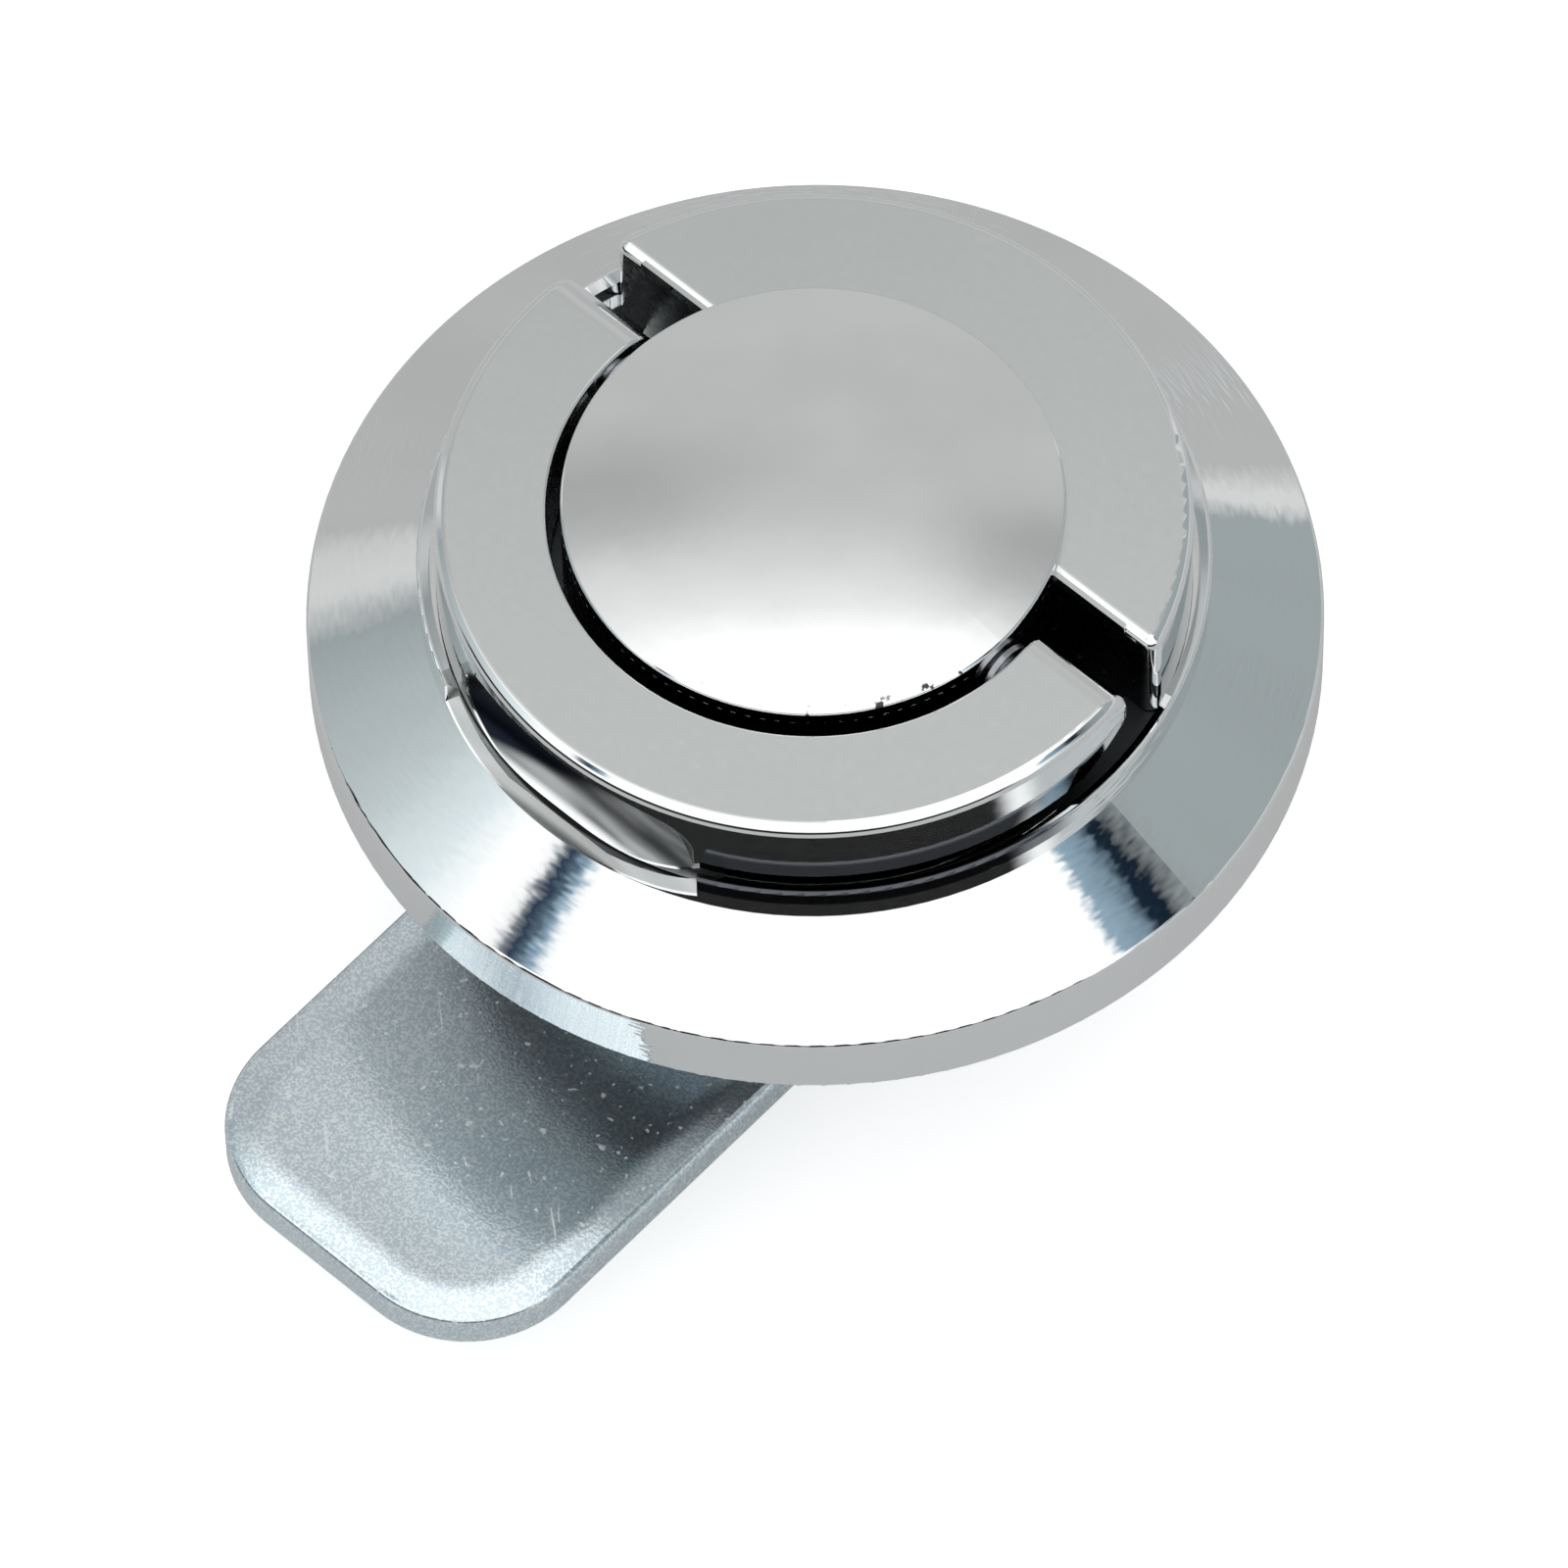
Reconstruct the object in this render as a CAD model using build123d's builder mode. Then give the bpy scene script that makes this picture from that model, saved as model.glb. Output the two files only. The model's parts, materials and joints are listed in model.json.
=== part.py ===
from build123d import *

import os
from math import hypot, radians, sqrt, tan

# A lift-and-turn cam lock: a round housing, a turning knob with a flip-up handle, and a steel cam.
# All sizes are in millimetres. The origin is on the turning axis, in the back face of the flange,
# which seats on the panel. +Z points out of the panel to the hand. The handle's middle and the cam
# lie on -Y, and the handle's hinge runs along X.

# Housing face
flange_radius = 25.0
rim_height = 3.9
rim_round = 0.3
cone_rise = 3.0
boss_lip_gap = 0.3
boss_lip_wall = 0.65
boss_rise = 2.0
boss_round = 0.12
lip_bevel_width = 0.45
lip_bevel_depth = 0.35
seat_rise = 0.1
flange_back_round = 0.25

# Housing barrel: a plain collar in the panel, then the thread, with one flat against turning
collar_over_thread = 0.18
collar_short_of_washer = 0.2
barrel_radius = 10.87
barrel_flat_wall = 0.3
barrel_length = 11.2
barrel_chamfer = 0.5

# Knob: the fixed part-ring and the handle share one outline
knob_radius = 18.5
knob_round = 0.6
knob_rise = 4.3
knob_gap = 0.1
ring_width = 6.2
handle_gap = 0.7
slot_width = 2.3
handle_inner_round = 0.2
handle_sole_round = 0.25
handle_tail_reach = 2.6
handle_tail_round = 1.9
handle_tail_depth = 2.2
handle_heel_reach = 3.4
handle_heel_rise = 0.8
handle_sole_start = 9.0

# Dome cap
cap_seat_depth = 0.1
cap_rim_height = 0.8
cap_crown_rise = 1.6
cap_rim_round = 0.15
cap_wall = 1.1
cap_side_gap = 0.05
skirt_inset = 2.05
skirt_wall = 0.85
skirt_floor_gap = 0.1
skirt_above_pin = 0.25

# Rotor below the ring
disc_inset = 1.9
disc_thickness = 2.4
disc_below_ledge = 0.1
running_gap = 0.06
axial_play = 0.05
spindle_share = 0.552
square_share = 2 / 3
square_gap = 0.05
square_short_of_cam = 0.2

# Finger recess under the handle's middle
recess_half_width = 8.85
recess_depth = 2.9
recess_height = 5.5
recess_round = 2.7

# Handle hinge
hinge_below_top = 1.65
pin_radius = 0.9
pin_gap = 0.05
pin_engagement = 3.2
pin_head_radius = 1.4
pin_head_length = 1.0
pin_blind_gap = 0.2
pin_tip_chamfer = 0.3
pin_channel_inset = 1.05
pin_channel_gap = 0.4
pin_head_gap = 0.1
pivot_washer_radius = 1.5
pivot_washer_thickness = 0.3
pivot_washer_seat_gap = 0.12
pivot_spring_wire = 0.4
pivot_spring_radius = 1.2
pivot_spring_turns = 9
pivot_spring_end_gap = 0.05

# Thrust washer under the disc
thrust_washer_thickness = 0.6
thrust_washer_inset = 2.6
thrust_washer_inner_gap = 0.4

# Seals
spindle_seal_section = 0.7
spindle_seal_depth = 2.8
seal_groove_gap = 0.1
flange_seal_radius = 17.0
flange_seal_section = 0.8
flange_seal_proud = 0.3

# Quarter-turn stop
turn_angle = 90.0
stop_recess_step = 2.8
stop_recess_depth = 1.3
stop_washer_thickness = 1.1
stop_washer_gap = 0.5
stop_tab_inset = 0.47
stop_tab_width = 4.0
stop_tab_gap = 0.1

# Disc spring between stop washer and cam
disc_spring_height = 1.15
disc_spring_sheet = 0.5
disc_spring_gap = 0.4
disc_spring_bore_gap = 0.54

# Cam
cam_width = 20.5
cam_thickness = 2.0
cam_reach = 36.3
cam_corner_radius = 6.5
cam_edge_round = 0.4
cam_burr_round = 0.2

# Cam fastener, M6
bolt_radius = 3.0
bolt_gap = 0.06
bolt_length = 12.0
bolt_head_across = 10.0
bolt_head_height = 4.0
head_bevel_angle = 30.0
bolt_end_chamfer = 0.5
bolt_hole_spare = 0.8
washer_bolt_gap = 0.2
cam_washer_radius = 7.5
cam_washer_thickness = 1.2
lock_washer_radius = 5.2
lock_washer_thickness = 1.4
lock_washer_split = 0.8

# Panel fastening
panel_space = 2.6
tooth_washer_thickness = 0.8
tooth_washer_width = 3.93
tooth_length = 1.53
tooth_tip_gap = 0.25
tooth_count = 12
tooth_gap_width = 1.5
nut_wall = 2.63
nut_thickness = 4.5
nut_thread_gap = 0.06
nut_bore_chamfer = 0.5

# Heights along the turning axis
cone_top = rim_height + cone_rise
ledge_height = cone_top + boss_rise
seat_height = cone_top + seat_rise
knob_bottom = seat_height + knob_gap
knob_top = ledge_height + knob_rise
hinge_height = knob_top - hinge_below_top
disc_top = seat_height - disc_below_ledge
disc_bottom = disc_top - disc_thickness
well_floor = disc_bottom - thrust_washer_thickness - axial_play
core_top = knob_top - cap_seat_depth
cap_rim_top = core_top + cap_rim_height
cap_crown = cap_rim_top + cap_crown_rise
barrel_end = -barrel_length
stop_recess_floor = barrel_end + stop_recess_depth
stop_washer_top = stop_recess_floor - axial_play
stop_washer_bottom = stop_washer_top - stop_washer_thickness
cam_top = stop_washer_bottom - disc_spring_height
cam_bottom = cam_top - cam_thickness
square_end = cam_bottom + square_short_of_cam
cam_washer_bottom = cam_bottom - cam_washer_thickness
lock_washer_bottom = cam_washer_bottom - lock_washer_thickness
collar_end = collar_short_of_washer - panel_space
tooth_washer_top = -panel_space
tooth_washer_bottom = tooth_washer_top - tooth_washer_thickness
nut_bottom = tooth_washer_bottom - nut_thickness

# Radii and offsets that follow from the sizes above
lip_radius = knob_radius + boss_lip_gap
boss_radius = lip_radius + boss_lip_wall
cap_radius = knob_radius - ring_width
skirt_radius = cap_radius - skirt_inset
disc_radius = knob_radius - disc_inset
thrust_washer_outer = disc_radius - thrust_washer_inset
pin_channel_half_length = skirt_radius - pin_channel_inset
collar_radius = barrel_radius + collar_over_thread
# the spindle's radius is a share of the barrel's, and the square's side a share of its diameter
spindle_radius = barrel_radius * spindle_share
square_side = 2 * spindle_radius * square_share
stop_recess_radius = spindle_radius + stop_recess_step
barrel_flat_offset = stop_recess_radius + barrel_flat_wall
stop_washer_radius = stop_recess_radius - stop_washer_gap
stop_tab_reach = barrel_radius - stop_tab_inset
disc_spring_outer = stop_recess_radius - disc_spring_gap
disc_spring_inner = square_side / sqrt(2) + disc_spring_bore_gap
tooth_washer_radius = barrel_radius + tooth_washer_width
tooth_washer_root = barrel_radius + tooth_length
nut_across_flats = 2 * (barrel_radius + nut_wall)
handle_inner_radius = cap_radius + handle_gap
fixed_cut = handle_tail_reach + slot_width
well_radius = disc_radius + running_gap
spindle_bore_radius = spindle_radius + running_gap
pin_bore_radius = pin_radius + pin_gap
pin_channel_half_width = pin_head_radius + pin_channel_gap
pin_head_end = pin_channel_half_length - pin_head_gap
pin_head_start = pin_head_end - pin_head_length
pin_tip = handle_inner_radius + pin_engagement
skirt_seat_radius = skirt_radius + cap_side_gap
recess_wall = boss_radius - recess_depth
recess_top = cone_top + recess_height
skirt_seat_floor = hinge_height + pin_bore_radius + skirt_above_pin
skirt_bottom = skirt_seat_floor + skirt_floor_gap
bolt_tip = lock_washer_bottom + bolt_length
bolt_hole_radius = bolt_radius + bolt_gap
square_hole = square_side + 2 * square_gap
bevel_rise = bolt_head_across / 2 * tan(radians(head_bevel_angle))
nut_bevel_rise = nut_across_flats / 2 * tan(radians(head_bevel_angle))
tooth_notch_length = tooth_washer_root - barrel_radius
spindle_groove_depth = 2 * spindle_seal_section + seal_groove_gap - running_gap
dome_radius = (cap_radius**2 + cap_crown_rise**2) / (2 * cap_crown_rise)
dome_chord = sqrt(cap_radius**2 + cap_crown_rise**2)
dome_bulge = dome_radius - sqrt(dome_radius**2 - dome_chord**2 / 4)
beyond = 2 * flange_radius

os.makedirs("parts", exist_ok=True)


def save(piece, name):
    piece.part.label = name
    export_step(piece.part, f"parts/{name}.step")


def from_axis(point):
    return hypot(point.X, point.Y)


# Finger recess cutter: a pocket with rounded inner corners, open to the outside
with BuildPart() as recess_cutter:
    with BuildSketch(Plane.XY.offset(cone_top)) as recess_plan:
        with Locations((0, -(recess_wall + beyond) / 2)):
            Rectangle(2 * recess_half_width, beyond - recess_wall)
    extrude(amount=recess_height)
    recess_edges = recess_cutter.edges().filter_by(
        lambda e: (e @ 0.5).Y > -recess_wall - 0.01
        or ((e @ 0.5).Z > recess_top - 0.01 and abs((e @ 0.5).X) > 0.01)
    )
    fillet(recess_edges, radius=recess_round)

# Housing: flange, cone and the thin lip round the knob in one turned outline with the barrel
with BuildPart() as housing:
    with BuildSketch(Plane.XZ) as housing_profile:
        with BuildLine():
            Polyline(
                (spindle_bore_radius, well_floor),
                (well_radius, well_floor),
                (well_radius, seat_height),
                (lip_radius, seat_height),
                (lip_radius, ledge_height - lip_bevel_depth),
                (lip_radius + lip_bevel_width, ledge_height),
                (boss_radius, ledge_height),
                (boss_radius, cone_top),
                (flange_radius, rim_height),
                (flange_radius, 0),
                (collar_radius, 0),
                (collar_radius, collar_end),
                (barrel_radius, collar_end),
                (barrel_radius, barrel_end),
                (stop_recess_radius, barrel_end),
                (stop_recess_radius, stop_recess_floor),
                (spindle_bore_radius, stop_recess_floor),
                (spindle_bore_radius, well_floor),
            )
        make_face()
    revolve(axis=Axis.Z)
    rim_edges = housing.edges().filter_by(GeomType.CIRCLE).filter_by(
        lambda e: abs(e.radius - flange_radius) < 0.01
    )
    fillet(rim_edges.sort_by(Axis.Z)[-1], radius=rim_round)
    fillet(rim_edges.sort_by(Axis.Z)[0], radius=flange_back_round)
    boss_edges = housing.edges().filter_by(GeomType.CIRCLE).filter_by(
        lambda e: abs(e.radius - boss_radius) < 0.01
    )
    fillet(boss_edges.sort_by(Axis.Z)[-1], radius=boss_round)
    barrel_edges = housing.edges().filter_by(GeomType.CIRCLE).filter_by(
        lambda e: abs(e.radius - barrel_radius) < 0.01
    )
    chamfer(barrel_edges.sort_by(Axis.Z)[0], length=barrel_chamfer)
    # the barrel's flat
    with BuildSketch(Plane.XY) as flat_cut:
        with Locations((0, barrel_flat_offset + barrel_radius)):
            Rectangle(2 * beyond, 2 * barrel_radius)
    extrude(amount=-barrel_length, mode=Mode.SUBTRACT)
    # the quarter-turn notch: the tab's two end places and the sector between them
    with BuildSketch(Plane.XY.offset(barrel_end)) as notch_cut:
        for angle in (-90.0, -90.0 + turn_angle):
            with Locations(Rotation(0, 0, angle)):
                with Locations((barrel_radius, 0)):
                    Rectangle(2 * barrel_radius, stop_tab_width + 2 * stop_tab_gap)
        with BuildLine():
            sweep_arc = CenterArc((0, 0), 2 * barrel_radius, -90, turn_angle)
            Line((0, 0), sweep_arc @ 0)
            Line((0, 0), sweep_arc @ 1)
        make_face()
    extrude(amount=stop_recess_depth, mode=Mode.SUBTRACT)
    # groove for the flange seal
    with BuildSketch(Plane.XY) as seal_groove:
        Circle(flange_seal_radius + flange_seal_section + seal_groove_gap)
        Circle(flange_seal_radius - flange_seal_section - seal_groove_gap, mode=Mode.SUBTRACT)
    extrude(amount=2 * flange_seal_section - flange_seal_proud, mode=Mode.SUBTRACT)
    add(recess_cutter.part, mode=Mode.SUBTRACT)
save(housing, "housing")

# Fixed part-ring of the knob: its outer top edge and its cut faces' edges are rounded alike
with BuildPart() as fixed_ring:
    with BuildSketch(Plane.XY.offset(knob_bottom)) as ring_plan:
        Circle(knob_radius)
        Circle(cap_radius + cap_side_gap, mode=Mode.SUBTRACT)
        with Locations((0, fixed_cut - beyond)):
            Rectangle(2 * beyond, 2 * beyond, mode=Mode.SUBTRACT)
    extrude(amount=knob_top - knob_bottom)
    ring_edges = fixed_ring.edges().filter_by(
        lambda e: from_axis(e @ 0.5) > cap_radius + 1 and (e @ 0.5).Z > knob_bottom + 0.01
    )
    fillet(ring_edges, radius=knob_round)

# Rotor: core, disc and spindle are turned, then the part-ring, the square and the hollows
with BuildPart() as rotor:
    with BuildSketch(Plane.XZ) as rotor_profile:
        with BuildLine():
            Polyline(
                (0, skirt_seat_floor),
                (skirt_seat_radius, skirt_seat_floor),
                (skirt_seat_radius, core_top),
                (cap_radius, core_top),
                (cap_radius, disc_top),
                (disc_radius, disc_top),
                (disc_radius, disc_bottom),
                (spindle_radius, disc_bottom),
                (spindle_radius, stop_washer_top),
                (0, stop_washer_top),
                (0, skirt_seat_floor),
            )
        make_face()
    revolve(axis=Axis.Z)
    # the part-ring stands on the disc, inside the boss lip
    with BuildSketch(Plane.XY.offset(disc_top)) as ring_root:
        Circle(disc_radius)
        Circle(cap_radius - cap_side_gap, mode=Mode.SUBTRACT)
        with Locations((0, fixed_cut - beyond)):
            Rectangle(2 * beyond, 2 * beyond, mode=Mode.SUBTRACT)
    extrude(amount=core_top - disc_top)
    add(fixed_ring.part)
    # the square that carries the stop washer and the cam
    with BuildSketch(Plane.XY.offset(stop_washer_top)) as square:
        Rectangle(square_side, square_side)
    extrude(amount=square_end - stop_washer_top)
    # the seal's groove
    with BuildSketch(Plane.XZ) as seal_profile:
        with Locations((spindle_radius, -spindle_seal_depth)):
            Rectangle(2 * spindle_groove_depth, 2 * spindle_seal_section + 2 * seal_groove_gap)
    revolve(axis=Axis.Z, mode=Mode.SUBTRACT)
    # the channel for the pivot spring and the pins' heads
    with BuildSketch(Plane.XY.offset(core_top)) as channel:
        Rectangle(2 * pin_channel_half_length, 2 * pin_channel_half_width)
    extrude(amount=hinge_height - pin_channel_half_width - core_top, mode=Mode.SUBTRACT)
    with BuildSketch(Plane.YZ) as pin_bores:
        with Locations((0, hinge_height)):
            Circle(pin_bore_radius)
    extrude(amount=handle_inner_radius, both=True, mode=Mode.SUBTRACT)
    # the tapped hole for the cam's bolt
    with BuildSketch(Plane.XY.offset(square_end)) as bolt_hole:
        Circle(bolt_hole_radius)
    extrude(amount=bolt_tip + bolt_hole_spare - square_end, mode=Mode.SUBTRACT)
save(rotor, "rotor")

# Dome cap: a shallow dome with a short upright rim and a skirt that presses into the core
with BuildPart() as dome_cap:
    with BuildSketch(Plane.XZ) as cap_profile:
        with BuildLine():
            SagittaArc((0, cap_crown), (cap_radius, cap_rim_top), dome_bulge)
            Polyline(
                (cap_radius, cap_rim_top),
                (cap_radius, core_top),
                (skirt_radius, core_top),
                (skirt_radius, skirt_bottom),
                (skirt_radius - skirt_wall, skirt_bottom),
                (skirt_radius - skirt_wall, cap_rim_top - cap_wall / 2),
                (0, cap_crown - cap_wall),
                (0, cap_crown),
            )
        make_face()
    revolve(axis=Axis.Z)
    rim_corner = dome_cap.edges().filter_by(GeomType.CIRCLE).filter_by(
        lambda e: abs(e.radius - cap_radius) < 0.01
    )
    fillet(rim_corner.sort_by(Axis.Z)[-1], radius=cap_rim_round)
save(dome_cap, "dome_cap")

# Lift handle: the C-shaped part of the ring, with a rounded tail and a sole that rises to it
with BuildPart() as lift_handle:
    with BuildSketch(Plane.YZ) as side_profile:
        with BuildLine():
            Line((-beyond, knob_top), (handle_tail_reach - handle_tail_round, knob_top))
            RadiusArc(
                (handle_tail_reach - handle_tail_round, knob_top),
                (handle_tail_reach, knob_top - handle_tail_round),
                handle_tail_round,
            )
            Polyline(
                (handle_tail_reach, knob_top - handle_tail_round),
                (handle_tail_reach, knob_top - handle_tail_depth),
                (-handle_heel_reach, knob_bottom + handle_heel_rise),
                (-handle_sole_start, knob_bottom),
                (-beyond, knob_bottom),
                (-beyond, knob_top),
            )
        make_face()
    extrude(amount=knob_radius, both=True)
    with BuildSketch(Plane.XY.offset(knob_bottom)) as handle_plan:
        Circle(knob_radius)
        Circle(handle_inner_radius, mode=Mode.SUBTRACT)
    extrude(amount=knob_top - knob_bottom, mode=Mode.INTERSECT)
    tail_end = knob_top - handle_tail_depth
    heel_top = knob_bottom + handle_heel_rise
    for wall_radius, wall_round, low, high in (
        (knob_radius, knob_round, tail_end + 0.01, knob_top + 1),
        (handle_inner_radius, handle_inner_round, tail_end + 0.01, knob_top + 1),
        (knob_radius, handle_sole_round, knob_bottom - 1, heel_top),
    ):
        wall_edges = lift_handle.edges().filter_by(
            lambda e: abs(from_axis(e @ 0.5) - wall_radius) < 0.01 and low < (e @ 0.5).Z < high
        )
        fillet(wall_edges, radius=wall_round)
    add(recess_cutter.part, mode=Mode.SUBTRACT)
    for side in (-1, 1):
        with BuildSketch(Plane.YZ.offset(side * handle_inner_radius / 2)) as pin_hole:
            with Locations((0, hinge_height)):
                Circle(pin_bore_radius)
        extrude(amount=side * (pin_tip + pin_blind_gap - handle_inner_radius / 2), mode=Mode.SUBTRACT)
save(lift_handle, "lift_handle")

# Hinge pins: a headed pin on each side, put in from the channel inside the core
for name, side in (("pivot_pin_left", -1), ("pivot_pin_right", 1)):
    with BuildPart() as pivot_pin:
        with BuildSketch(Plane.YZ.offset(side * pin_head_start)) as pin_head:
            with Locations((0, hinge_height)):
                Circle(pin_head_radius)
        extrude(amount=side * pin_head_length)
        with BuildSketch(Plane.YZ.offset(side * pin_head_end)) as pin_shank:
            with Locations((0, hinge_height)):
                Circle(pin_radius)
        extrude(amount=side * (pin_tip - pin_head_end))
        tip = pivot_pin.faces().sort_by(Axis.X)[0 if side < 0 else -1]
        chamfer(tip.edges(), length=pin_tip_chamfer)
    save(pivot_pin, name)

# Friction washers between the core and the handle's cheeks
washer_seat = cap_radius + pivot_washer_seat_gap
for name, side in (("pivot_washer_left", -1), ("pivot_washer_right", 1)):
    with BuildPart() as pivot_washer:
        with BuildSketch(Plane.YZ.offset(side * washer_seat)) as washer_plan:
            with Locations((0, hinge_height)):
                Circle(pivot_washer_radius)
                Circle(pin_bore_radius, mode=Mode.SUBTRACT)
        extrude(amount=side * pivot_washer_thickness)
    save(pivot_washer, name)

# Compression spring that keeps both pins pressed outwards
spring_length = 2 * (pin_head_start - pivot_spring_end_gap) - pivot_spring_wire
with BuildPart() as pivot_spring:
    with BuildLine() as coil:
        Helix(
            pitch=spring_length / pivot_spring_turns,
            height=spring_length,
            radius=pivot_spring_radius,
            center=(-spring_length / 2, 0, hinge_height),
            direction=(1, 0, 0),
        )
    with BuildSketch(Plane(origin=coil.line @ 0, z_dir=coil.line % 0)) as wire:
        Circle(pivot_spring_wire / 2)
    sweep(path=coil.line, is_frenet=True)
save(pivot_spring, "pivot_spring")

# Slip washer between the disc and the housing's well
with BuildPart() as thrust_washer:
    with BuildSketch(Plane.XY.offset(well_floor)) as slip_ring:
        Circle(thrust_washer_outer)
        Circle(spindle_radius + thrust_washer_inner_gap, mode=Mode.SUBTRACT)
    extrude(amount=thrust_washer_thickness)
save(thrust_washer, "thrust_washer")

# O-rings: one round the spindle, one in the back of the flange
with BuildPart() as spindle_seal:
    with BuildSketch(Plane.XZ) as spindle_seal_wire:
        with Locations((spindle_radius - spindle_seal_section, -spindle_seal_depth)):
            Circle(spindle_seal_section)
    revolve(axis=Axis.Z)
save(spindle_seal, "spindle_seal")

with BuildPart() as flange_seal:
    with BuildSketch(Plane.XZ) as flange_seal_wire:
        with Locations((flange_seal_radius, flange_seal_section - flange_seal_proud)):
            Circle(flange_seal_section)
    revolve(axis=Axis.Z)
save(flange_seal, "flange_seal")

# Stop washer: its tab turns a quarter turn in the barrel's notch
with BuildPart() as stop_washer:
    with BuildSketch(Plane.XY.offset(stop_washer_bottom)) as stop_plan:
        Circle(stop_washer_radius)
        with Locations((0, -stop_tab_reach / 2)):
            Rectangle(stop_tab_width, stop_tab_reach)
        Rectangle(square_hole, square_hole, mode=Mode.SUBTRACT)
    extrude(amount=stop_washer_thickness)
save(stop_washer, "stop_washer")

# Disc spring: a shallow cone that takes up the play above the cam
with BuildPart() as disc_spring:
    with BuildSketch(Plane.XZ) as spring_section:
        with BuildLine():
            Polyline(
                (disc_spring_inner, cam_top + disc_spring_height),
                (disc_spring_outer, cam_top + disc_spring_sheet),
                (disc_spring_outer, cam_top),
                (disc_spring_inner, cam_top + disc_spring_height - disc_spring_sheet),
                (disc_spring_inner, cam_top + disc_spring_height),
            )
        make_face()
    revolve(axis=Axis.Z)
save(disc_spring, "disc_spring")

# Cam: a flat tongue on the square, with a round end at the axis and rounded tip corners
with BuildPart() as cam:
    with BuildSketch(Plane.XY.offset(cam_bottom)) as cam_plan:
        Circle(cam_width / 2)
        with Locations((0, -cam_reach / 2)):
            Rectangle(cam_width, cam_reach)
        fillet(cam_plan.vertices().group_by(Axis.Y)[0], radius=cam_corner_radius)
        Rectangle(square_hole, square_hole, mode=Mode.SUBTRACT)
    extrude(amount=cam_thickness)
    for face_height, face_round in ((cam_top, cam_edge_round), (cam_bottom, cam_burr_round)):
        outline = cam.edges().filter_by_position(Axis.Z, face_height, face_height)
        fillet(outline.filter_by(lambda e: from_axis(e @ 0.5) > square_side), radius=face_round)
save(cam, "cam")

# Flat washer, split lock washer and hexagon bolt under the cam
with BuildPart() as cam_washer:
    with BuildSketch(Plane.XY.offset(cam_washer_bottom)) as cam_washer_plan:
        Circle(cam_washer_radius)
        Circle(bolt_radius + washer_bolt_gap, mode=Mode.SUBTRACT)
    extrude(amount=cam_washer_thickness)
save(cam_washer, "cam_washer")

with BuildPart() as cam_lock_washer:
    with BuildSketch(Plane.XY.offset(lock_washer_bottom)) as lock_washer_plan:
        Circle(lock_washer_radius)
        Circle(bolt_radius + washer_bolt_gap, mode=Mode.SUBTRACT)
        with Locations((lock_washer_radius / 2, 0)):
            Rectangle(lock_washer_radius, lock_washer_split, mode=Mode.SUBTRACT)
    extrude(amount=lock_washer_thickness)
save(cam_lock_washer, "cam_lock_washer")

with BuildPart() as cam_bolt:
    with BuildSketch(Plane.XY.offset(lock_washer_bottom)) as bolt_head:
        RegularPolygon(radius=bolt_head_across / 2, side_count=6, major_radius=False)
    extrude(amount=-bolt_head_height)
    with BuildSketch(Plane.XZ) as head_bevel:
        with BuildLine():
            Polyline(
                (bolt_head_across / 2, lock_washer_bottom - bolt_head_height),
                (bolt_head_across, lock_washer_bottom - bolt_head_height),
                (bolt_head_across, lock_washer_bottom - bolt_head_height + bevel_rise),
                (bolt_head_across / 2, lock_washer_bottom - bolt_head_height),
            )
        make_face()
    revolve(axis=Axis.Z, mode=Mode.SUBTRACT)
    with BuildSketch(Plane.XY.offset(lock_washer_bottom)) as bolt_shank:
        Circle(bolt_radius)
    extrude(amount=bolt_length)
    chamfer(cam_bolt.faces().sort_by(Axis.Z)[-1].edges(), length=bolt_end_chamfer)
save(cam_bolt, "cam_bolt")

# Toothed washer between panel and nut
with BuildPart() as tooth_washer:
    with BuildSketch(Plane.XY.offset(tooth_washer_bottom)) as tooth_plan:
        Circle(tooth_washer_radius)
        Circle(barrel_radius + tooth_tip_gap, mode=Mode.SUBTRACT)
        with PolarLocations(barrel_radius, tooth_count):
            with Locations((tooth_notch_length / 2, 0)):
                Rectangle(tooth_notch_length, tooth_gap_width, mode=Mode.SUBTRACT)
    extrude(amount=tooth_washer_thickness)
save(tooth_washer, "tooth_washer")

# Hexagon nut on the barrel, bevelled on both faces
with BuildPart() as mounting_nut:
    with BuildSketch(Plane.XY.offset(nut_bottom)) as nut_plan:
        RegularPolygon(radius=nut_across_flats / 2, side_count=6, major_radius=False)
        Circle(barrel_radius + nut_thread_gap, mode=Mode.SUBTRACT)
    extrude(amount=nut_thickness)
    with BuildSketch(Plane.XZ) as nut_bevel:
        for face, inward in ((nut_bottom, 1), (tooth_washer_bottom, -1)):
            with BuildLine():
                Polyline(
                    (nut_across_flats / 2, face),
                    (nut_across_flats, face),
                    (nut_across_flats, face + inward * nut_bevel_rise),
                    (nut_across_flats / 2, face),
                )
            make_face()
    revolve(axis=Axis.Z, mode=Mode.SUBTRACT)
    bore_edges = mounting_nut.edges().filter_by(GeomType.CIRCLE).filter_by(
        lambda e: e.radius < nut_across_flats / 2
    )
    chamfer(bore_edges, length=nut_bore_chamfer)
save(mounting_nut, "mounting_nut")
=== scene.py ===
import json
from math import cos, pi, radians, sin

import bpy
from mathutils import Matrix, Vector


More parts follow.
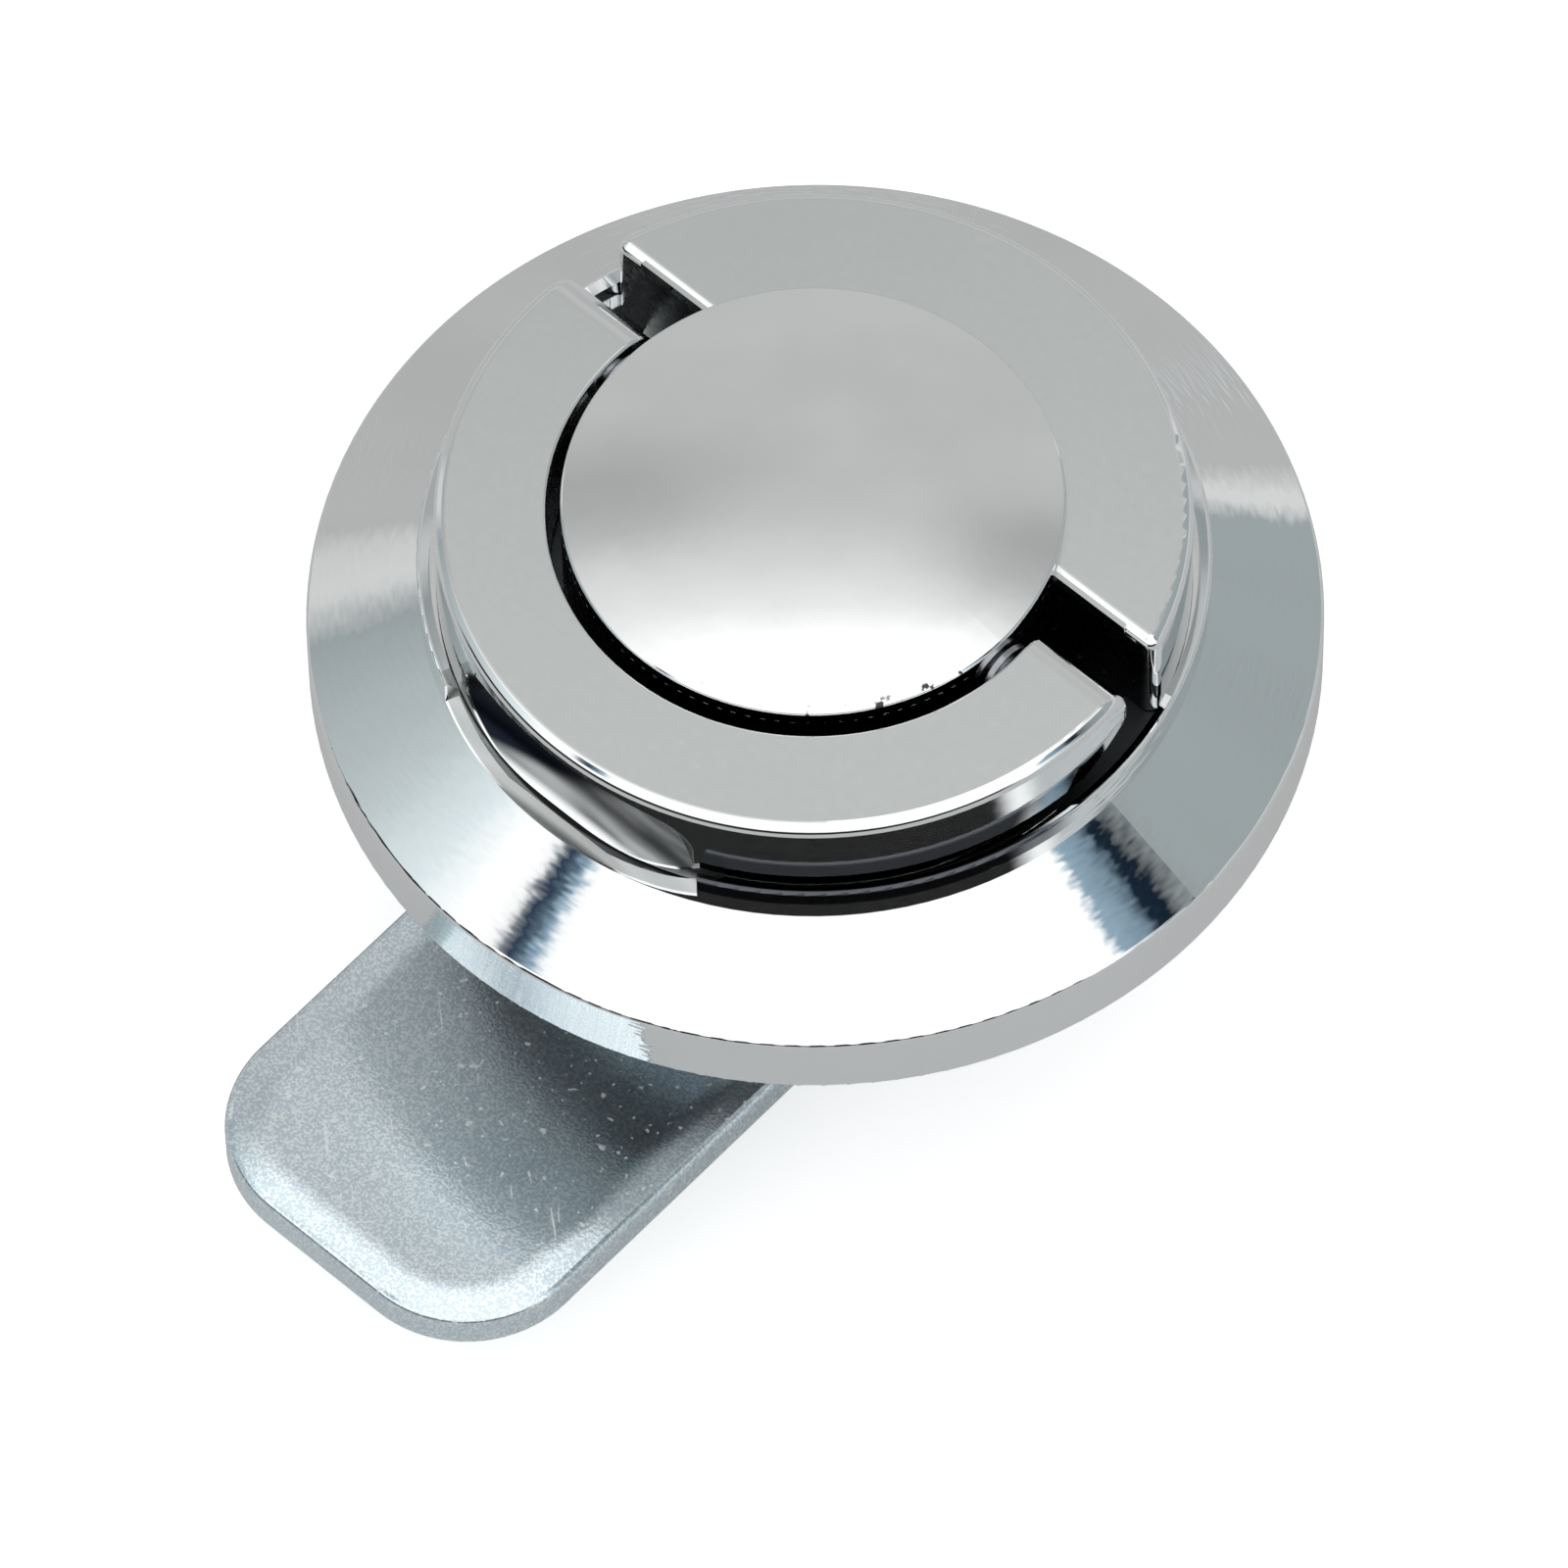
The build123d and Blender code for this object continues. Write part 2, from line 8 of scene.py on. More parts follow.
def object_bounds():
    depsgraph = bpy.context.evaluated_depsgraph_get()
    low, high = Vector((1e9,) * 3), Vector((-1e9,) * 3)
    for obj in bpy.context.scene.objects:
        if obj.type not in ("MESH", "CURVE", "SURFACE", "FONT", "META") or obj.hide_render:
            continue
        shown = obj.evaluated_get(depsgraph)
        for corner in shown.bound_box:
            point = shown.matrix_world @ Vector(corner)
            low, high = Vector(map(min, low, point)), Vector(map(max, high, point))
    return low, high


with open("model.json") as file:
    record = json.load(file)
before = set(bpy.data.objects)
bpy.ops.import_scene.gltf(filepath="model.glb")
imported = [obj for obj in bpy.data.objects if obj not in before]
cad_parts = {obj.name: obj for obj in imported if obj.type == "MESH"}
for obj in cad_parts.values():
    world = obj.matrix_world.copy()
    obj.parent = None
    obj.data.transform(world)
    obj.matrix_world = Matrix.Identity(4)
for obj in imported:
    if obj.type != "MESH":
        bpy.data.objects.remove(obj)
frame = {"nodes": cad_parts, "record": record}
cad_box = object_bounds()
nodes = frame["nodes"]

# Places and sizes for the materials

# In metres. Radii are from the turning axis, heights from the flange's back face, and fronts from the
# turning axis towards the camera. Two values are a range.

cone_start_radius = 0.01955
cone_start_height = 0.00035
cap_rim_radius = (0.0119, 0.0124)
cap_rim_height = 0.01295
chipped_front = (0.0085, 0.0100)
pocket_back = 0.01645
pocket_half_width = 0.00895
pocket_height = (0.0068, 0.0125)
pocket_shade_back = 0.01697
pocket_shade_rise = 0.14
boss_skin_radius = 0.01934
ring_skin_radius = 0.018415
well_radius = 0.0185
well_height = (0.00075, 0.00815)
joint_radius = (0.0187, 0.0196)
joint_height = (0.0080, 0.00895)
joint_front = (0.0148, 0.0162)
lip_slope_radius = (0.01915, 0.01930)
collar_radius = 0.01125
flange_back_height = 0.00007
back_fade_radius = (0.0125, 0.0228)
thread_radius = (0.0105, 0.01095)
thread_start = -0.0025
thread_pitch = 0.0015
flat_top_start = 0.01305
hollow_top = 0.01255
knob_shade_span = (-0.016, 0.018)
slot_radius = 0.01795
slot_start = 0.0028
slot_fade_radius = (0.0140, 0.0172)
gap_radius = 0.013125
cam_half_width = 0.01025
cam_reach = 0.0363
cam_corner_radius = 0.0065
cam_free = (-0.006, -0.010)
rolled_width = 0.0012
rolled_drop = 0.00054

# The photograph's view

# Its plan angle and elevation, and how much of the part's X and -Y points to the camera
plan, elevation = radians(-47.0), radians(58.06)
view_x, view_y = 0.682, 0.731

# Node helpers


def new_material(name):
    mat = bpy.data.materials.new(name)
    mat.use_nodes = True
    tree = mat.node_tree
    bsdf = next(n for n in tree.nodes if n.type == "BSDF_PRINCIPLED")
    return mat, tree, bsdf


def add(tree, kind, **settings):
    node = tree.nodes.new(kind)
    for key, value in settings.items():
        setattr(node, key, value)
    return node


def put(tree, socket, value):
    """A number, a colour or another node's output goes into the socket."""
    if isinstance(value, bpy.types.NodeSocket):
        tree.links.new(value, socket)
    else:
        socket.default_value = value


def math(tree, operation, a, b=0.0, c=0.0, clamp=False):
    node = add(tree, "ShaderNodeMath", operation=operation, use_clamp=clamp)
    for socket, value in zip(node.inputs, (a, b, c)):
        put(tree, socket, value)
    return node.outputs[0]


def plus(tree, a, b):
    return math(tree, "ADD", a, b)


def minus(tree, a, b):
    return math(tree, "SUBTRACT", a, b)


def times(tree, *factors):
    result = factors[0]
    for factor in factors[1:]:
        result = math(tree, "MULTIPLY", result, factor)
    return result


def squared(tree, value):
    return math(tree, "POWER", value, 2.0)


def smooth(tree, value, low, high, out_low=0.0, out_high=1.0):
    node = add(tree, "ShaderNodeMapRange", interpolation_type="SMOOTHSTEP", clamp=True)
    settings = {"Value": value, "From Min": low, "From Max": high, "To Min": out_low, "To Max": out_high}
    for name, setting in settings.items():
        put(tree, node.inputs[name], setting)
    return node.outputs["Result"]


def above(tree, value, edge, soft):
    """1 where the value lies above the edge, 0 below it, and soft between."""
    return smooth(tree, value, edge - soft, edge + soft)


def below(tree, value, edge, soft):
    return smooth(tree, value, edge - soft, edge + soft, 1.0, 0.0)


def between(tree, value, low, high, soft):
    return times(tree, above(tree, value, low, soft), below(tree, value, high, soft))


def mix(tree, factor, a, b, blend_type="MIX"):
    node = add(tree, "ShaderNodeMix", data_type="RGBA", blend_type=blend_type)
    put(tree, node.inputs["Factor"], factor)
    put(tree, node.inputs["A"], a)
    put(tree, node.inputs["B"], b)
    return node.outputs["Result"]


def blend(tree, factor, a, b):
    node = add(tree, "ShaderNodeMix", data_type="FLOAT")
    put(tree, node.inputs["Factor"], factor)
    put(tree, node.inputs["A"], a)
    put(tree, node.inputs["B"], b)
    return node.outputs["Result"]


def ramp(tree, value, stops):
    node = add(tree, "ShaderNodeValToRGB")
    elements = node.color_ramp.elements
    while len(elements) < len(stops):
        elements.new(0.5)
    for element, (position, colour) in zip(elements, stops):
        element.position = position
        element.color = (*colour, 1.0)
    put(tree, node.inputs["Fac"], value)
    return node.outputs["Color"]


def noise(tree, vector, scale, detail=3.0, roughness=0.5):
    node = add(tree, "ShaderNodeTexNoise")
    put(tree, node.inputs["Vector"], vector)
    for name, setting in (("Scale", scale), ("Detail", detail), ("Roughness", roughness)):
        node.inputs[name].default_value = setting
    return node.outputs["Fac"]


def stretched(tree, vector, angle, factors, scale):
    """Noise drawn out along one direction, for scratches and grinding streaks."""
    turn = add(tree, "ShaderNodeVectorRotate", rotation_type="Z_AXIS")
    put(tree, turn.inputs["Vector"], vector)
    turn.inputs["Angle"].default_value = radians(angle)
    stretch = add(tree, "ShaderNodeVectorMath", operation="MULTIPLY")
    put(tree, stretch.inputs[0], turn.outputs[0])
    stretch.inputs[1].default_value = factors
    return noise(tree, stretch.outputs[0], scale, detail=1.0)


def rings(tree, radius, angle, z):
    """Noise stretched along the turning direction, as turning and polishing leave it."""
    combine = add(tree, "ShaderNodeCombineXYZ")
    put(tree, combine.inputs["X"], radius)
    put(tree, combine.inputs["Y"], times(tree, angle, 0.004))
    put(tree, combine.inputs["Z"], z)
    return noise(tree, combine.outputs[0], 4600.0, detail=0.0)


def bump(tree, height, distance, strength=1.0, normal=None):
    node = add(tree, "ShaderNodeBump")
    put(tree, node.inputs["Height"], height)
    node.inputs["Distance"].default_value = distance
    node.inputs["Strength"].default_value = strength
    if normal is not None:
        put(tree, node.inputs["Normal"], normal)
    return node.outputs["Normal"]


def parts_of(tree, vector):
    split = add(tree, "ShaderNodeSeparateXYZ")
    put(tree, split.inputs[0], vector)
    return split.outputs


def object_coords(tree):
    """Object coordinates in metres, and their X, Y, Z and distance from the turning axis."""
    where = add(tree, "ShaderNodeTexCoord").outputs["Object"]
    x, y, z = parts_of(tree, where)
    radius = math(tree, "SQRT", plus(tree, times(tree, x, x), times(tree, y, y)))
    return where, x, y, z, radius


def upward(tree):
    """How far the surface faces up, from -1 to 1."""
    return parts_of(tree, add(tree, "ShaderNodeTexCoord").outputs["Normal"])[2]


# Materials


def pocket_mask(tree, x, y, z, radius, skin, soft):
    """The faces of the finger pocket, which lie inside the outer wall's skin."""
    return times(
        tree,
        below(tree, y, -pocket_back, 0.00015),
        below(tree, radius, skin, soft),
        between(tree, z, *pocket_height, 0.0001),
        below(tree, math(tree, "ABSOLUTE", x), pocket_half_width, 0.00005),
    )


def chrome_material(name="chrome"):
    mat, tree, bsdf = new_material(name)
    where, x, y, z, radius = object_coords(tree)
    bsdf.inputs["Metallic"].default_value = 1.0
    cloud = noise(tree, where, 180.0, detail=4.0)
    fine = noise(tree, where, 2600.0, detail=2.0)
    colour = mix(tree, cloud, (0.81, 0.825, 0.83, 1), (0.855, 0.865, 0.865, 1))
    off_back = above(tree, z, cone_start_height, 0.00025)
    on_cone = times(tree, above(tree, radius, cone_start_radius, 0.00025), off_back)
    polished = smooth(tree, fine, 0.35, 0.75, 0.045, 0.08)
    rough = blend(tree, on_cone, polished, smooth(tree, fine, 0.35, 0.75, 0.022, 0.045))
    # chips in the plate along the cap's rim, in front
    towards = minus(tree, times(tree, x, view_x), times(tree, y, view_y))
    in_front = smooth(tree, towards, *chipped_front)
    worn = smooth(tree, noise(tree, where, 1300.0, detail=3.0), 0.61, 0.66)
    at_rim = between(tree, radius, *cap_rim_radius, 0.0001)
    chips = times(tree, worn, in_front, at_rim, above(tree, z, cap_rim_height, 0.00015))
    colour = mix(tree, chips, colour, (0.06, 0.06, 0.062, 1))
    # finger pocket: ground, not polished
    pocket = pocket_mask(tree, x, y, z, radius, boss_skin_radius, 0.00004)
    colour = mix(tree, pocket, colour, (0.56, 0.575, 0.57, 1))
    rough = blend(tree, pocket, rough, 0.28)
    # inside the well the plate is dull, and its colour is near black as painted shade in the recess
    low, high = well_height
    in_well = times(
        tree,
        below(tree, radius, well_radius, 0.00005),
        below(tree, z, high, 0.00015),
        above(tree, z, low, 0.00025),
    )
    colour = mix(tree, in_well, colour, (0.05, 0.052, 0.055, 1))
    # painted shade in the joint round the ring, in front
    painted_joint_shade = times(
        tree,
        smooth(tree, towards, *joint_front),
        between(tree, radius, *joint_radius, 0.0001),
        between(tree, z, *joint_height, 0.00005),
    )
    joint_shade_colour = mix(tree, smooth(tree, radius, *lip_slope_radius), (0.03, 0.032, 0.036, 1), (0.10, 0.105, 0.12, 1))
    colour = mix(tree, painted_joint_shade, colour, joint_shade_colour)
    # the barrel is dull
    barrel = times(tree, below(tree, z, 0.0, 0.0001), below(tree, radius, collar_radius, 0.00005))
    colour = mix(tree, barrel, colour, (0.66, 0.68, 0.69, 1))
    rough = blend(tree, barrel, rough, 0.18)
    # the flange's back is dull, and its colour is painted shade by the collar that grows to painted light at
    # the rim
    off_collar = above(tree, radius, collar_radius, 0.00005)
    back = times(tree, below(tree, z, flange_back_height, 0.00005), off_collar)
    outwards = smooth(tree, plus(tree, radius, times(tree, cloud, 0.001)), *back_fade_radius)
    colour = mix(tree, back, colour, mix(tree, outwards, (0.07, 0.095, 0.11, 1), (0.98, 0.985, 0.99, 1)))
    dull = smooth(tree, cloud, 0.3, 0.7, 0.42, 0.52)
    rough = blend(tree, math(tree, "MAXIMUM", in_well, back), rough, dull)
    put(tree, bsdf.inputs["Base Color"], colour)
    put(tree, bsdf.inputs["Roughness"], rough)
    # turning marks on the cone, a thread on the barrel, and the plate's orange peel
    angle = math(tree, "ARCTAN2", y, x)
    marks = times(tree, rings(tree, radius, angle, z), on_cone)
    turns = minus(tree, math(tree, "DIVIDE", angle, 2.0 * pi), math(tree, "DIVIDE", z, thread_pitch))
    ridge = math(tree, "ABSOLUTE", minus(tree, math(tree, "FRACT", turns), 0.5))
    on_thread = between(tree, radius, *thread_radius, 0.00002)
    threaded = times(tree, on_thread, below(tree, z, thread_start, 0.0001))
    peel = noise(tree, where, 420.0, detail=2.0)
    surface = bump(tree, marks, 0.000008)
    surface = bump(tree, times(tree, ridge, threaded), 0.0006, 1.0, surface)
    put(tree, bsdf.inputs["Normal"], bump(tree, peel, 0.00002, 0.35, surface))
    return mat


def satin_material(name="satin_chrome"):
    mat, tree, bsdf = new_material(name)
    where, x, y, z, radius = object_coords(tree)
    up = upward(tree)
    flat = times(tree, above(tree, up, 0.9915, 0.0065), above(tree, z, flat_top_start, 0.00005))
    bsdf.inputs["Metallic"].default_value = 1.0
    cloud = noise(tree, where, 60.0, detail=5.0)
    bright = mix(tree, cloud, (0.81, 0.825, 0.83, 1), (0.85, 0.862, 0.865, 1))
    # the flat top's colour is a little darker to the back, as painted shade
    to_back = minus(tree, times(tree, y, view_y), times(tree, x, view_x))
    satin = mix(tree, smooth(tree, to_back, *knob_shade_span), (0.80, 0.835, 0.825, 1), (0.68, 0.715, 0.70, 1))
    satin = mix(tree, times(tree, cloud, 0.35), satin, (0.86, 0.88, 0.87, 1))
    colour = mix(tree, flat, bright, satin)
    fine = noise(tree, where, 2200.0, detail=2.0)
    polished = smooth(tree, fine, 0.35, 0.75, 0.05, 0.08)
    rough = blend(tree, flat, polished, smooth(tree, fine, 0.3, 0.8, 0.17, 0.24))
    # finger pocket: ground, not polished
    pocket = pocket_mask(tree, x, y, z, radius, ring_skin_radius, 0.000035)
    pocket = times(tree, pocket, below(tree, up, 0.85, 0.05))
    streaks = stretched(tree, where, 0.0, (0.2, 1.0, 1.4), 900.0)
    ground = mix(tree, smooth(tree, streaks, 0.35, 0.65), (0.17, 0.18, 0.18, 1), (0.38, 0.39, 0.39, 1))
    # how far the surface lies outside a slanting line from the pocket's back; inside that line the colour is
    # near black, as painted shade
    outside = minus(tree, times(tree, x, pocket_shade_rise), plus(tree, y, pocket_shade_back))
    ground = mix(tree, below(tree, outside, 0.0, 0.0002), ground, (0.012, 0.015, 0.024, 1))
    colour = mix(tree, pocket, colour, ground)
    rough = blend(tree, pocket, rough, 0.28)
    # slots, the gap round the cap and the undersides: painted shade inside, lifting towards the left slot's
    # outer end, with a few bright specks
    low = below(tree, z, hollow_top, 0.00015)
    slot = times(tree, low, below(tree, radius, slot_radius, 0.00035), above(tree, y, slot_start, 0.0001))
    gap = times(tree, low, below(tree, radius, gap_radius, 0.000075))
    under = times(tree, below(tree, up, -0.2, 0.1), low)
    hollow = math(tree, "MAXIMUM", math(tree, "MAXIMUM", slot, gap), under)
    specks = smooth(tree, noise(tree, where, 1400.0, detail=2.0), 0.66, 0.72)
    outwards = smooth(tree, radius, *slot_fade_radius)
    left_slot_shade = mix(tree, outwards, (0.10, 0.105, 0.11, 1), (0.55, 0.57, 0.56, 1))
    hollow_shade = mix(tree, above(tree, x, 0.0, 0.004), left_slot_shade, (0.03, 0.032, 0.036, 1))
    hollow_shade = mix(tree, times(tree, specks, 0.5), hollow_shade, (0.6, 0.62, 0.65, 1))
    colour = mix(tree, hollow, colour, hollow_shade)
    rough = blend(tree, hollow, rough, smooth(tree, fine, 0.3, 0.8, 0.20, 0.35))
    put(tree, bsdf.inputs["Base Color"], colour)
    put(tree, bsdf.inputs["Roughness"], rough)
    peel = noise(tree, where, 500.0, detail=2.0)
    put(tree, bsdf.inputs["Normal"], bump(tree, peel, 0.00002, 0.35))
    return mat


def zinc_material(name="zinc_steel"):
    mat, tree, bsdf = new_material(name)
    where, x, y = object_coords(tree)[:3]
    bsdf.inputs["Metallic"].default_value = 1.0
    cloud = noise(tree, where, 110.0, detail=5.0, roughness=0.6)
    patches = smooth(tree, cloud, 0.3, 0.7)
    base = mix(tree, patches, (0.77, 0.90, 0.94, 1), (0.84, 0.96, 0.99, 1))
    grain = noise(tree, where, 6500.0, detail=1.0)
    base = mix(tree, below(tree, grain, 0.50, 0.10), base, (0.64, 0.73, 0.79, 1))
    base = mix(tree, above(tree, grain, 0.60, 0.08), base, (0.92, 0.97, 0.99, 1))
    # light flecks and short scratches across the sheet
    flecks = smooth(tree, noise(tree, where, 2600.0, detail=1.0), 0.68, 0.73)
    scratches = smooth(tree, stretched(tree, where, 43.0, (0.16, 2.0, 1.0), 1500.0), 0.72, 0.75)
    marks = math(tree, "MAXIMUM", flecks, scratches)
    base = mix(tree, times(tree, marks, 0.7), base, (0.95, 0.97, 0.97, 1))
    put(tree, bsdf.inputs["Base Color"], base)
    rough = smooth(tree, cloud, 0.3, 0.7, 0.18, 0.24)
    put(tree, bsdf.inputs["Roughness"], blend(tree, marks, rough, 0.5))
    # the punched edge is drawn in: the top falls away evenly along the outline, then softly to flat
    across = minus(tree, math(tree, "ABSOLUTE", x), cam_half_width - cam_corner_radius)
    along = minus(tree, times(tree, y, -1.0), cam_reach - cam_corner_radius)
    past = [squared(tree, math(tree, "MAXIMUM", offset, 0.0)) for offset in (across, along)]
    inset = minus(tree, cam_corner_radius, math(tree, "SQRT", plus(tree, *past)))
    even = math(tree, "DIVIDE", inset, rolled_width, clamp=True)
    easing = math(tree, "DIVIDE", minus(tree, inset, rolled_width), rolled_width, clamp=True)
    eased = minus(tree, 1.0, squared(tree, minus(tree, 1.0, easing)))
    drawn = math(tree, "DIVIDE", plus(tree, times(tree, even, 2.0), eased), 3.0)
    surface = bump(tree, times(tree, drawn, smooth(tree, y, *cam_free)), rolled_drop)
    put(tree, bsdf.inputs["Normal"], bump(tree, grain, 0.00001, 0.6, surface))
    return mat


def cloudy_material(name, scale, colours, roughness):
    """Two near colours and a little roughness in soft clouds."""
    mat, tree, bsdf = new_material(name)
    where = object_coords(tree)[0]
    cloud = noise(tree, where, scale, detail=4.0)
    low, high = ((*colour, 1) for colour in colours)
    put(tree, bsdf.inputs["Base Color"], mix(tree, cloud, low, high))
    put(tree, bsdf.inputs["Roughness"], smooth(tree, cloud, 0.3, 0.7, *roughness))
    return mat, tree, bsdf, where


def steel_material(name, colours):
    mat, tree, bsdf, where = cloudy_material(name, 300.0, colours, (0.26, 0.38))
    bsdf.inputs["Metallic"].default_value = 1.0
    grain = noise(tree, where, 1400.0, detail=2.0)
    put(tree, bsdf.inputs["Normal"], bump(tree, grain, 0.00002, 0.5))
    return mat


def plastic_material(name, scale, colours, roughness, grain_scale, grain_height):
    mat, tree, bsdf, where = cloudy_material(name, scale, colours, roughness)
    put(tree, bsdf.inputs["Normal"], bump(tree, noise(tree, where, grain_scale), grain_height, 0.5))
    return mat


fastener_colours = ((0.58, 0.61, 0.64), (0.72, 0.74, 0.76))
spring_colours = ((0.36, 0.37, 0.39), (0.50, 0.51, 0.53))
rubber_colours = ((0.018, 0.018, 0.019), (0.04, 0.04, 0.041))
acetal_colours = ((0.80, 0.80, 0.77), (0.87, 0.87, 0.84))
by_slot = {
    "chrome": chrome_material(),
    "satin_chrome": satin_material(),
    "zinc_steel": zinc_material(),
    "fastener_steel": steel_material("fastener_steel", fastener_colours),
    "spring_steel": steel_material("spring_steel", spring_colours),
    "rubber": plastic_material("rubber", 400.0, rubber_colours, (0.55, 0.7), 1800.0, 0.00003),
    "slip_plastic": plastic_material("slip_plastic", 300.0, acetal_colours, (0.32, 0.45), 1500.0, 0.00001),
}
slot_of = {row["node"]: row["material_slot"] for row in frame["record"]["subparts"]}
for name, obj in nodes.items():
    mat = by_slot[slot_of[name]]
    if not obj.material_slots:
        obj.data.materials.append(mat)
    for slot in obj.material_slots:
        slot.material = mat

# Camera

# At the photograph's view, with a small turn, tilt and roll off the turning axis

distance = 0.8
yaw, pitch, roll = radians(0.12), radians(-0.47), radians(0.98)
place = distance * Vector((cos(elevation) * cos(plan), cos(elevation) * sin(plan), sin(elevation)))
forward = -place.normalized()
right = Vector((-sin(plan), cos(plan), 0.0))
up = right.cross(forward)
right, forward = (Matrix.Rotation(yaw, 3, up) @ v for v in (right, forward))
up, forward = (Matrix.Rotation(pitch, 3, right) @ v for v in (up, forward))
right, up = (Matrix.Rotation(roll, 3, forward) @ v for v in (right, up))
camera_data = bpy.data.cameras.new("photo_camera")
camera_data.sensor_width = 36.0
camera_data.lens = 372.6
camera_data.clip_start, camera_data.clip_end = 0.01, 20.0
camera = bpy.data.objects.new("photo_camera", camera_data)
turn = Matrix((right, up, -forward)).transposed().to_4x4()
camera.matrix_world = Matrix.Translation(place) @ turn
bpy.context.scene.collection.objects.link(camera)
bpy.context.scene.camera = camera

# Floor

# It is pale and takes the object's soft shadow. The camera sees it white, and metal and glass see it pale.
# They see its far part in front as dark, as the room beyond the table is.

floor_size = 6.0
floor_height = cad_box[0].z - 0.0002
table_side = radians(-72.0)
table_end = (0.12, 0.22)
mirrored_table = 0.36
seen_glow, mirrored_glow = 0.50, 0.06
bpy.ops.mesh.primitive_plane_add(size=floor_size, location=(0, 0, floor_height))
floor = bpy.context.active_object
floor.name = "floor"
mat, tree, bsdf = new_material("floor")
x, y = object_coords(tree)[1:3]
path = add(tree, "ShaderNodeLightPath")
mirrored = math(tree, "ADD", path.outputs["Is Glossy Ray"], path.outputs["Is Transmission Ray"], clamp=True)
# distance from the turning axis towards the table's side, in front and to the left
ahead = plus(tree, times(tree, x, cos(table_side)), times(tree, y, sin(table_side)))
beyond_table = smooth(tree, ahead, *table_end)
shown = minus(tree, 1.0, times(tree, mirrored, blend(tree, beyond_table, mirrored_table, 1.0)))
put(tree, bsdf.inputs["Base Color"], mix(tree, shown, (0.02, 0.02, 0.02, 1), (0.92, 0.92, 0.92, 1)))
bsdf.inputs["Roughness"].default_value = 0.9
bsdf.inputs["Specular IOR Level"].default_value = 0.0
bsdf.inputs["Emission Color"].default_value = (1, 1, 1, 1)
seen = times(tree, path.outputs["Is Camera Ray"], seen_glow)
glow = times(tree, mirrored, shown, mirrored_glow)
put(tree, bsdf.inputs["Emission Strength"], plus(tree, seen, glow))
floor.data.materials.append(mat)

# Studio

# The world is a soft room. Its parts are laid out over the slope of a surface that shows them to the
# camera: lean is that surface's tilt from level and facing is the way it leans, 0 to the camera.

world = bpy.data.worlds.new("studio")
bpy.context.scene.world = world
world.use_nodes = True
tree = world.node_tree
background = next(n for n in tree.nodes if n.type == "BACKGROUND")
rotate = add(tree, "ShaderNodeVectorRotate", rotation_type="Z_AXIS")
put(tree, rotate.inputs["Vector"], add(tree, "ShaderNodeTexCoord").outputs["Generated"])
rotate.inputs["Angle"].default_value = radians(-43.0)
from_camera = rotate.outputs[0]
halfway = add(tree, "ShaderNodeVectorMath", operation="ADD")
put(tree, halfway.inputs[0], from_camera)
halfway.inputs[1].default_value = (0.0, -cos(elevation), sin(elevation))
slope = add(tree, "ShaderNodeVectorMath", operation="NORMALIZE")
put(tree, slope.inputs[0], halfway.outputs[0])
to_side, to_back, to_top = parts_of(tree, slope.outputs[0])


def turned(side, back):
    """The plan angle in degrees, 0 to the camera and growing to the right."""
    return math(tree, "DEGREES", math(tree, "ARCTAN2", side, times(tree, back, -1.0)))


lean = math(tree, "DEGREES", math(tree, "ARCCOSINE", to_top))
facing = turned(to_side, to_back)


def grey(level):
    return (level, level, level)


def cool(level):
    """A slightly bluish grey."""
    return (0.90 * level, level, 1.02 * level)


def around(stops):
    """A ramp over the facing angle, from colours at given degrees."""
    ratio = plus(tree, math(tree, "DIVIDE", facing, 360.0), 0.5)
    return ramp(tree, ratio, [((degrees + 180.0) / 360.0, colour) for degrees, colour in stops])


def darken(colour, factor, amount):
    """Multiplies the colour by amount where factor is 1."""
    return mix(tree, factor, colour, (*grey(amount), 1), "MULTIPLY")


softbox = grey(1.25)
room_grey = grey(0.52)
open_light = grey(1.0)
flag_dark = (0.02, 0.04, 0.07)
flag_edge = (0.30, 0.42, 0.52)

